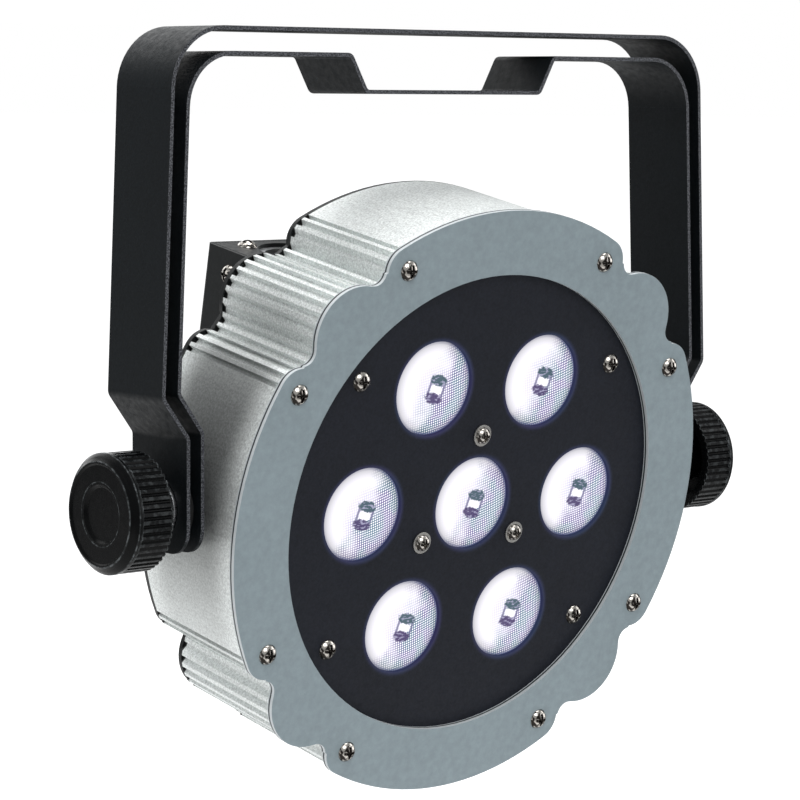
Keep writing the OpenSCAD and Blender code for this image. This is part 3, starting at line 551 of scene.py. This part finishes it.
def smooth_steps(tree, geometry):
    """Shades smooth, apart from edges sharper than the smoothing angle."""
    faces = tree.nodes.new("GeometryNodeSetShadeSmooth")
    faces.domain = "FACE"
    tree.links.new(geometry, faces.inputs["Geometry"])
    angle = tree.nodes.new("GeometryNodeInputMeshEdgeAngle")
    less = tree.nodes.new("FunctionNodeCompare")
    less.operation = "LESS_THAN"
    less.inputs[1].default_value = SMOOTH_ANGLE
    tree.links.new(angle.outputs[0], less.inputs[0])
    edges = tree.nodes.new("GeometryNodeSetShadeSmooth")
    edges.domain = "EDGE"
    tree.links.new(faces.outputs[0], edges.inputs["Geometry"])
    tree.links.new(less.outputs[0], edges.inputs["Shade Smooth"])
    return edges.outputs[0]


WELD = geometry_group("weld_shells", weld_steps)
SMOOTH = geometry_group("smooth_by_angle", smooth_steps)


def finish_mesh(obj, width):
    """Rounds the sharp edges of a CAD mesh a little and evens its shading."""
    obj.modifiers.new("weld", "NODES").node_group = WELD
    if width:
        flat = obj.modifiers.new("flat_faces", "DECIMATE")
        flat.decimate_type = "DISSOLVE"
        flat.angle_limit = FLAT_ANGLE
        edge = obj.modifiers.new("edge_round", "BEVEL")
        edge.width = width * MM
        edge.segments = 2
        edge.limit_method = "ANGLE"
        edge.angle_limit = ROUND_ANGLE
        edge.use_clamp_overlap = True
    obj.modifiers.new("smooth", "NODES").node_group = SMOOTH
    even = obj.modifiers.new("even_normals", "WEIGHTED_NORMAL")
    even.keep_sharp = True
    even.weight = 80


for key, (rounding, names) in LOOKS.items():
    for name in names:
        obj = NODES[name]
        obj.data.materials.clear()
        obj.data.materials.append(MAT[key].mat)
        finish_mesh(obj, rounding)


# ---------------------------------------------------------------- digits of the menu display

# each segment's centre as (across, up) in half digits, and whether it lies flat
SEGMENTS = {"a": (0, 2, True), "b": (1, 1, False), "c": (1, -1, False), "d": (0, -2, True),
            "e": (-1, -1, False), "f": (-1, 1, False), "g": (0, 0, True)}
# the segments lit for 0, 0 and 1
SHOWN_DIGITS = ["abcdef", "abcdef", "bc"]


def in_head(x, y, z):
    """A point of the head's own frame, in millimetres, as a point of the shared frame."""
    return Matrix.Rotation(TILT, 3, "X") @ Vector((x * MM, y * MM, z * MM)) + PIVOT


def segment(maker, cx, cz, flat):
    """One slim six-cornered bar of a seven-segment digit, just under the window."""
    tip, wide = SEGMENT_HALF - SEGMENT_GAP, SEGMENT_WIDE
    outline = [(-tip, 0), (wide - tip, wide), (tip - wide, wide),
               (tip, 0), (tip - wide, -wide), (wide - tip, -wide)]
    layers = []
    for depth in DIGIT_DEPTHS:
        corners = [(u, v) if flat else (v, u) for u, v in outline]
        layers.append([maker.verts.new(in_head(cx + across, BOX_BACK + depth, WINDOW_Z + cz + up))
                       for across, up in corners])
    inner, outer = layers
    maker.faces.new(inner)
    maker.faces.new(reversed(outer))
    for i in range(len(outline)):
        j = (i + 1) % len(outline)
        maker.faces.new((inner[j], inner[i], outer[i], outer[j]))


def display_digits():
    """The menu's three lit digits as one mesh."""
    maker = bmesh.new()
    for column, lit in enumerate(SHOWN_DIGITS):
        # seen from behind the light, so the first digit lies towards +X
        middle = DIGIT_PITCH * (1 - column)
        for name in lit:
            across, up, flat = SEGMENTS[name]
            segment(maker, middle - across * SEGMENT_HALF, up * SEGMENT_HALF, flat)
    bmesh.ops.recalc_face_normals(maker, faces=maker.faces)
    mesh = bpy.data.meshes.new("display_digits")
    maker.to_mesh(mesh)
    maker.free()
    mesh.materials.append(MAT["digit"].mat)
    return bpy.data.objects.new("display_digits", mesh)


digits = display_digits()
SCENE.collection.objects.link(digits)
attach(digits, "head")


# ---------------------------------------------------------------- stage, light and camera

FLOOR_Z = -0.42
FLOOR_HALF = 60.0
MIDDLE = (0.0, 0.0, -0.12)

# name, place and target in metres, width and height in metres, and watts
LIGHTS = [
    ("key_front_left", (-0.9, -1.6, 1.5), MIDDLE, (1.2, 1.2), 20.0),
    ("fill_front", (1.0, -1.8, 0.3), MIDDLE, (1.4, 1.2), 6.0),
    ("top_soft", (0.1, 0.1, 1.7), MIDDLE, (1.8, 1.4), 30.0),
    ("side_left", (-1.8, 0.5, 0.3), MIDDLE, (0.8, 1.4), 3.0),
    ("back_top", (-0.3, 1.6, 1.35), MIDDLE, (1.7, 1.1), 6.0),
    ("floor_bounce", (-0.3, 0.5, FLOOR_Z + 0.005), (-0.3, 0.5, 1.0), (1.5, 1.5), 4.5),
    ("side_right", (1.5, -0.4, 0.3), MIDDLE, (0.7, 1.3), 5.0),
    ("back_soft", (0.4, 1.7, 0.6), MIDDLE, (1.4, 1.2), 9.0),
]

# what the object sees around it, and what the camera sees
SURROUND = (0.42, 0.43, 0.435)

CAMERA_PLACE = (-0.5990, -0.6958, -0.0178)
CAMERA_AZIMUTH = math.radians(-40.2667)
CAMERA_ELEVATION = math.radians(5.7513)
CAMERA_ROLL = math.radians(0.3639)
FOCAL_LENGTH = 138.05


def area_light(name, place, target, size, watts):
    data = bpy.data.lights.new(name, "AREA")
    data.shape = "RECTANGLE"
    data.size, data.size_y = size
    data.energy = watts
    obj = bpy.data.objects.new(name, data)
    obj.location = place
    obj.rotation_euler = (Vector(target) - Vector(place)).to_track_quat("-Z", "Y").to_euler()
    SCENE.collection.objects.link(obj)
    return obj


def studio_world():
    """An even grey surround that the camera sees as white."""
    world = bpy.data.worlds.new("studio")
    world.use_nodes = True
    nodes, links = world.node_tree.nodes, world.node_tree.links
    path = nodes.new("ShaderNodeLightPath")
    shade = nodes.new("ShaderNodeMix")
    shade.data_type = "RGBA"
    shade.inputs[6].default_value = (*SURROUND, 1.0)
    shade.inputs[7].default_value = (*WHITE, 1.0)
    links.new(path.outputs["Is Camera Ray"], shade.inputs[0])
    links.new(shade.outputs[2], nodes["Background"].inputs["Color"])
    nodes["Background"].inputs["Strength"].default_value = 1.0
    return world


def floor_material():
    """Plain white to the camera, and dim to the object, so that its blacks stay black."""
    m = Material("floor_white")
    seen = m.add("LightPath")
    m.set(Emission_Strength=m.ramp(seen, 0.0, 1.0, 0.08, 1.0, False))
    m.fix(Base_Color=(0.3, 0.3, 0.3, 1.0), Roughness=0.9, Specular_IOR_Level=0.0,
          Emission_Color=(*WHITE, 1.0))
    return m


def studio_floor():
    mesh = bpy.data.meshes.new("floor")
    maker = bmesh.new()
    bmesh.ops.create_grid(maker, x_segments=2, y_segments=2, size=FLOOR_HALF)
    maker.to_mesh(mesh)
    maker.free()
    mesh.materials.append(floor_material().mat)
    floor = bpy.data.objects.new("floor", mesh)
    floor.location = (0.0, 0.0, FLOOR_Z)
    return floor


def studio_camera():
    """A long lens in front of the light and to its left, a little above its middle."""
    camera = bpy.data.objects.new("camera", bpy.data.cameras.new("camera"))
    camera.data.sensor_width = 36.0
    camera.data.lens = FOCAL_LENGTH
    camera.data.clip_end = 50.0
    turn = Matrix.Rotation(CAMERA_AZIMUTH, 4, "Z")
    pitch = Matrix.Rotation(math.radians(90) - CAMERA_ELEVATION, 4, "X")
    roll = Matrix.Rotation(CAMERA_ROLL, 4, "Z")
    camera.matrix_world = Matrix.Translation(CAMERA_PLACE) @ turn @ pitch @ roll
    return camera


for light in LIGHTS:
    lamp = area_light(*light)
    lamp.visible_camera = light[0] != "floor_bounce"
SCENE.world = studio_world()
floor = studio_floor()
SCENE.collection.objects.link(floor)
camera = studio_camera()
SCENE.collection.objects.link(camera)
SCENE.camera = camera
SCENE.view_settings.view_transform = "Standard"
SCENE.view_settings.look = "None"
